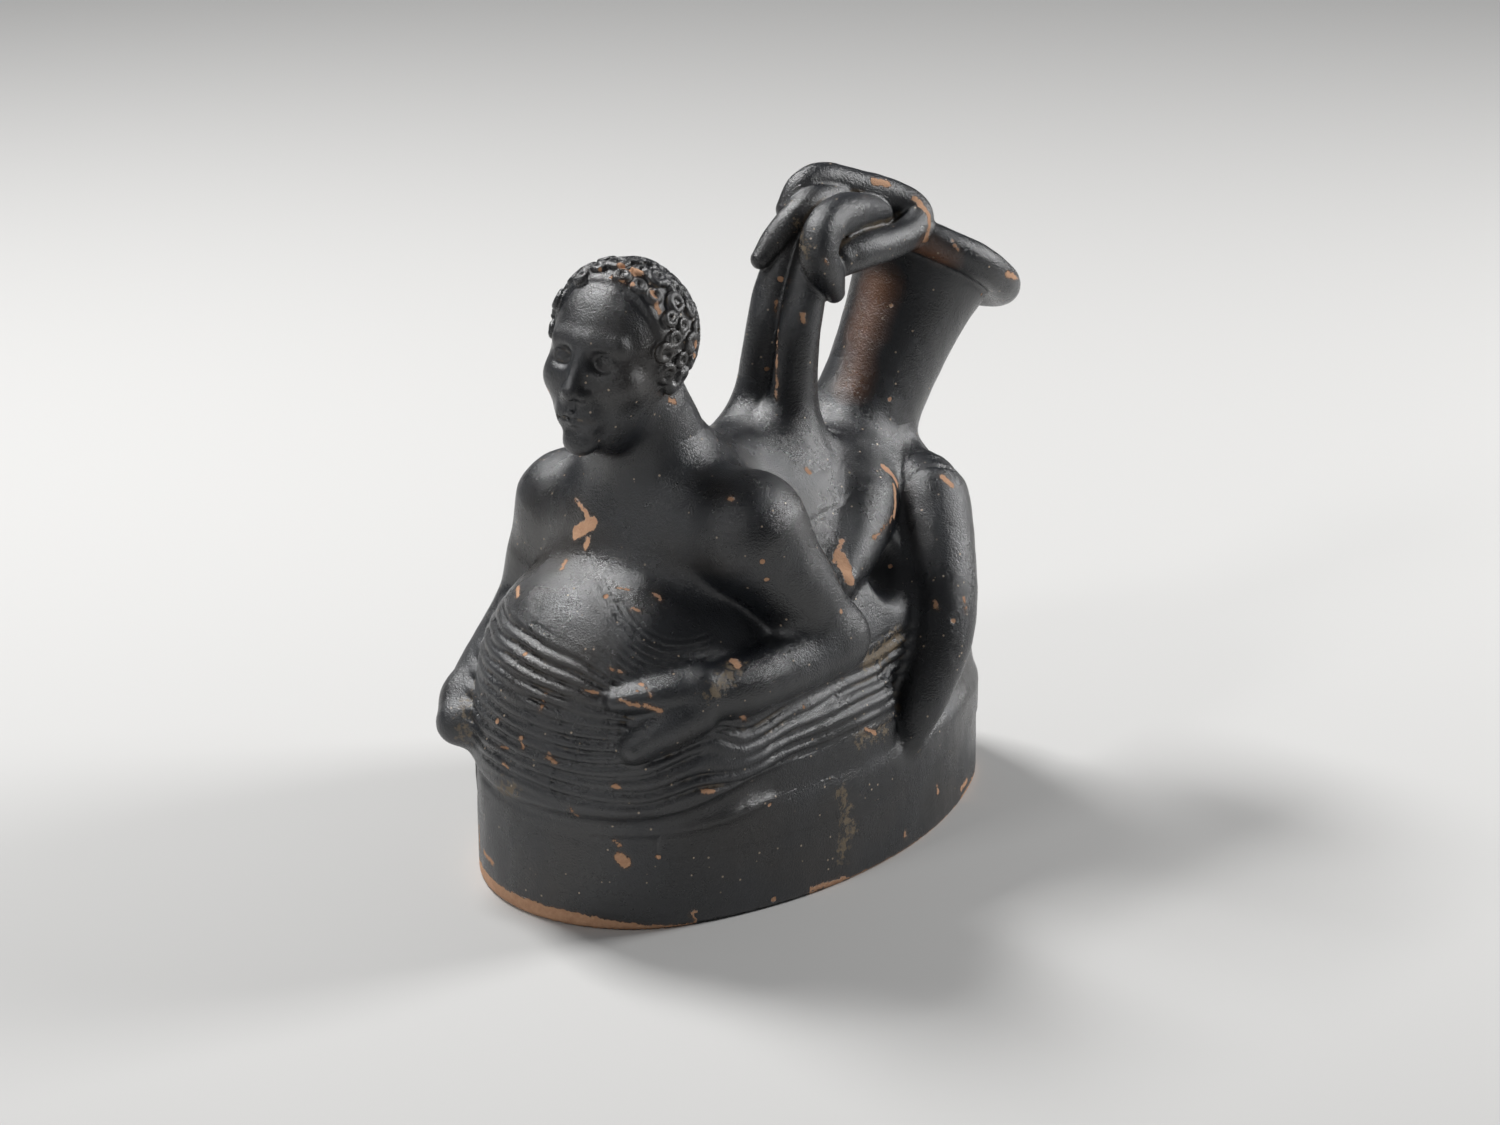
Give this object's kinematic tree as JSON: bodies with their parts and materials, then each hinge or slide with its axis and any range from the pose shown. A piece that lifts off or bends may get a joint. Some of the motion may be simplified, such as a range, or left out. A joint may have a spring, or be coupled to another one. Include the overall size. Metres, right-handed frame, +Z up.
{
  "type": "figural askos",
  "caption": "Oval terracotta oil flask shaped as a curly-haired figure hugging a swollen wineskin, with a flared spout at the rear and a tied rope-like handle.",
  "frame": {"origin": "centre of the oval foot, on its underside", "axes": "+Z up; -Y is the front, where the head and the swollen skin are; +X is the figure's left; the spout leans towards +Y"},
  "size_m": [0.1128, 0.1918, 0.1758],
  "materials": {
    "black_gloss": "satin black slip over fired clay, chipped and scratched",
    "bare_clay": "unslipped orange-tan fired clay"
  },
  "bodies": {
    "root": {"base_wall": "black_gloss", "base_floor": "bare_clay", "body_shell": "black_gloss", "wineskin": "black_gloss", "torso": "black_gloss", "spout_neck": "black_gloss", "spout_lip": "black_gloss", "figure_neck": "black_gloss", "left_upper_arm": "black_gloss", "left_forearm": "black_gloss", "left_hand": "black_gloss", "right_upper_arm": "black_gloss", "right_forearm": "black_gloss", "right_hand": "black_gloss", "left_thigh": "black_gloss", "left_shin": "black_gloss", "right_thigh": "black_gloss", "right_shin": "black_gloss", "handle_stem_left": "black_gloss", "handle_stem_right": "black_gloss", "handle_back_rib": "black_gloss", "knot_top_loop": "black_gloss", "knot_front_loop": "black_gloss", "knot_tail": "black_gloss", "head_front": "black_gloss", "head_back": "black_gloss", "hair_cap": "black_gloss"}
  },
  "joints": []
}
